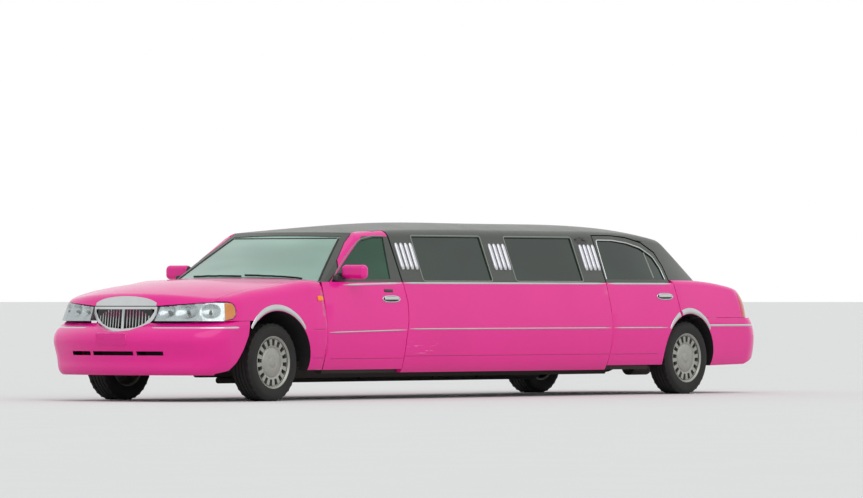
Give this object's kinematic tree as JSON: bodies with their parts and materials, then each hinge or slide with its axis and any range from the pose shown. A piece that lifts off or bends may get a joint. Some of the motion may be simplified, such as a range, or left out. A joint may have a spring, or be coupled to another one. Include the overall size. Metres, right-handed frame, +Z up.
{
  "type": "stretch limousine",
  "caption": "Six-door-length stretched saloon car with a lounge cabin, padded vinyl roof, steerable front wheels, hinged doors, hood and trunk lid.",
  "frame": {"origin": "on the ground under the middle of the overall box", "axes": "+X towards the tail, +Z up, the driver side at -Y"},
  "size_m": [8.5193, 2.22, 1.5537],
  "materials": {
    "body_paint": "glossy hot pink paint",
    "vinyl_roof": "grained black vinyl",
    "chrome_trim": "polished",
    "tinted_glass": "dark tinted",
    "clear_lens": "clear lens over a reflector",
    "red_lens": "translucent red",
    "black_plastic": "dull black",
    "chassis_steel": "black chassis paint with road dirt",
    "engine_metal": "cast",
    "tyre_rubber": "rubber",
    "wheel_silver": "silver painted",
    "cabin_plastic": "grained dark plastic",
    "seat_leather": "dark leather",
    "cabinet_wood": "lacquered dark wood"
  },
  "bodies": {
    "body": {"fender_left": "body_paint", "fender_right": "body_paint", "front_bumper": "body_paint", "rear_bumper": "body_paint", "side_panel_left": "body_paint", "side_panel_right": "body_paint", "quarter_left": "body_paint", "quarter_right": "body_paint", "rear_deck": "body_paint", "roof": "vinyl_roof", "grille": "chrome_trim", "windscreen": "tinted_glass", "rear_window": "tinted_glass", "side_windows": "tinted_glass", "headlamps": "clear_lens", "tail_lamps": "red_lens", "cowl": "black_plastic", "wheel_liners": "black_plastic", "radiator": "black_plastic", "frame_rails": "chassis_steel", "floor_pan": "chassis_steel", "front_arms": "chassis_steel", "rear_axle": "chassis_steel", "exhaust": "chassis_steel", "engine": "engine_metal", "dashboard": "cabin_plastic", "partition": "cabin_plastic", "rear_bulkhead": "cabin_plastic", "front_seats": "seat_leather", "lounge_seats": "seat_leather", "bar_cabinet": "cabinet_wood"},
    "hood_panel": {"hood": "body_paint", "hood_header": "chrome_trim"},
    "trunk_panel": {"trunk_lid": "body_paint"},
    "steering": {"steering_wheel": "cabin_plastic"},
    "door_front_left_body": {"door_front_left": "body_paint", "glass_front_left": "tinted_glass", "mirror_left": "body_paint"},
    "door_rear_left_body": {"door_rear_left": "body_paint", "glass_rear_left": "tinted_glass"},
    "hub_left": {"knuckle_left": "chassis_steel"},
    "wheel_front_left": {"tyre_front_left": "tyre_rubber", "rim_front_left": "wheel_silver"},
    "wheel_rear_left": {"tyre_rear_left": "tyre_rubber", "rim_rear_left": "wheel_silver"},
    "door_front_right_body": {"door_front_right": "body_paint", "glass_front_right": "tinted_glass", "mirror_right": "body_paint"},
    "door_rear_right_body": {"door_rear_right": "body_paint", "glass_rear_right": "tinted_glass"},
    "hub_right": {"knuckle_right": "chassis_steel"},
    "wheel_front_right": {"tyre_front_right": "tyre_rubber", "rim_front_right": "wheel_silver"},
    "wheel_rear_right": {"tyre_rear_right": "tyre_rubber", "rim_rear_right": "wheel_silver"}
  },
  "joints": [
    {"name": "steer_left", "type": "hinge", "parent": "body", "child": "hub_left", "pos_m": [-3.1785, -0.7, 0.33], "axis": [0, 0, 1], "range_deg": [-35, 35]},
    {"name": "steer_right", "type": "hinge", "parent": "body", "child": "hub_right", "pos_m": [-3.1785, 0.7, 0.33], "axis": [0, 0, 1], "range_deg": [-35, 35]},
    {"name": "steering_turn", "type": "hinge", "parent": "body", "child": "steering", "pos_m": [-1.8485, -0.38, 0.9], "axis": [0.9063, 0, 0.4226], "range_deg": [-560, 560]},
    {"name": "roll_front_left", "type": "hinge", "parent": "hub_left", "child": "wheel_front_left", "pos_m": [-3.1785, -0.805, 0.33], "axis": [0, 1, 0], "continuous": true},
    {"name": "roll_rear_left", "type": "hinge", "parent": "body", "child": "wheel_rear_left", "pos_m": [2.8595, -0.83, 0.33], "axis": [0, 1, 0], "continuous": true},
    {"name": "door_front_left_swing", "type": "hinge", "parent": "body", "child": "door_front_left_body", "pos_m": [-2.4785, -0.945, 0.6], "axis": [0, 0, -1], "range_deg": [0, 65]},
    {"name": "door_rear_left_swing", "type": "hinge", "parent": "body", "child": "door_rear_left_body", "pos_m": [1.6865, -0.945, 0.6], "axis": [0, 0, -1], "range_deg": [0, 60]},
    {"name": "roll_front_right", "type": "hinge", "parent": "hub_right", "child": "wheel_front_right", "pos_m": [-3.1785, 0.805, 0.33], "axis": [0, 1, 0], "continuous": true},
    {"name": "roll_rear_right", "type": "hinge", "parent": "body", "child": "wheel_rear_right", "pos_m": [2.8595, 0.83, 0.33], "axis": [0, 1, 0], "continuous": true},
    {"name": "door_front_right_swing", "type": "hinge", "parent": "body", "child": "door_front_right_body", "pos_m": [-2.4785, 0.945, 0.6], "axis": [0, 0, 1], "range_deg": [0, 65]},
    {"name": "door_rear_right_swing", "type": "hinge", "parent": "body", "child": "door_rear_right_body", "pos_m": [1.6865, 0.945, 0.6], "axis": [0, 0, 1], "range_deg": [0, 60]},
    {"name": "hood_lift", "type": "hinge", "parent": "body", "child": "hood_panel", "pos_m": [-2.4785, 0, 1.02], "axis": [0, 1, 0], "range_deg": [0, 45]},
    {"name": "trunk_lift", "type": "hinge", "parent": "body", "child": "trunk_panel", "pos_m": [3.5185, 0, 1.052], "axis": [0, -1, 0], "range_deg": [0, 75]}
  ],
  "couplings": [
    {"joint": "steer_right", "follows": "steer_left", "ratio": 1},
    {"joint": "steering_turn", "follows": "steer_left", "ratio": 16}
  ]
}
